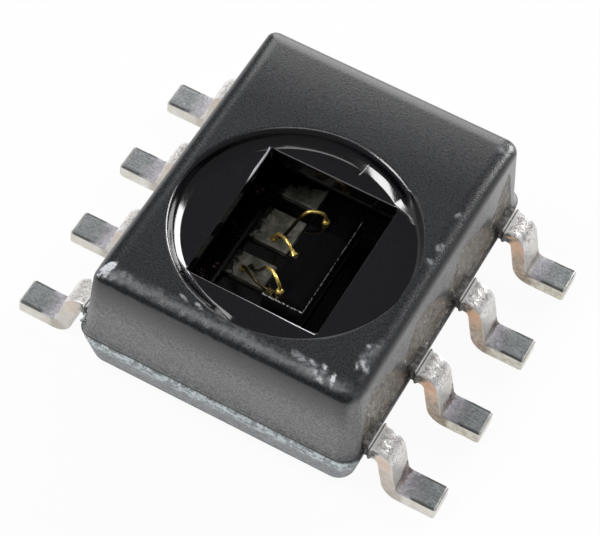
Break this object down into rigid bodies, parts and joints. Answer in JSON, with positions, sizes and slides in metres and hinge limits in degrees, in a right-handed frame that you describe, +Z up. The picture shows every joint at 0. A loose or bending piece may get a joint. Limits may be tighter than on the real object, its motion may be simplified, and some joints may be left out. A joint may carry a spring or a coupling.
{
  "type": "humidity sensor",
  "caption": "Surface-mount humidity sensor: open-cavity black package with a round filter seat, a window over the wire-bonded die and two rows of gull-wing leads.",
  "frame": {"origin": "on the board, under the middle of the package", "axes": "+X across the lead span towards leads 5 to 8, +Y along the body away from leads 4 and 5, +Z up from the board"},
  "size_m": [0.006, 0.005, 0.002],
  "materials": {
    "cap_resin": "fine-grained moulded epoxy, semi-matte, darker and glossier in the filter seat",
    "base_resin": "scuffed moulded epoxy, blue-grey",
    "seal_resin": "rough broken flash that sparkles along the ledge",
    "tinned_lead": "matte tin plate over copper alloy, wrinkled at the bends, bare copper at the sheared sides",
    "plated_paddle": "dull silver plate",
    "silver_epoxy": "dark filled adhesive",
    "silicon": "mirror-smooth dark silicon",
    "sensing_polymer": "thin glossy dark film",
    "porous_electrode": "thin dark porous metal",
    "pad_metal": "bare sputtered metal",
    "gold_wire": "bright drawn gold"
  },
  "bodies": {
    "root": {"cap": "cap_resin", "base": "base_resin", "seal_bead": "seal_resin", "lead_1": "tinned_lead", "lead_2": "tinned_lead", "lead_3": "tinned_lead", "lead_4": "tinned_lead", "lead_5": "tinned_lead", "lead_6": "tinned_lead", "lead_7": "tinned_lead", "lead_8": "tinned_lead", "die_paddle": "plated_paddle", "die_attach": "silver_epoxy", "sensor_die": "silicon", "sensing_film": "sensing_polymer", "top_electrode": "porous_electrode", "bond_pads": "pad_metal", "bond_wire_1": "gold_wire", "bond_wire_2": "gold_wire", "bond_wire_3": "gold_wire", "bond_wire_4": "gold_wire"}
  },
  "joints": []
}
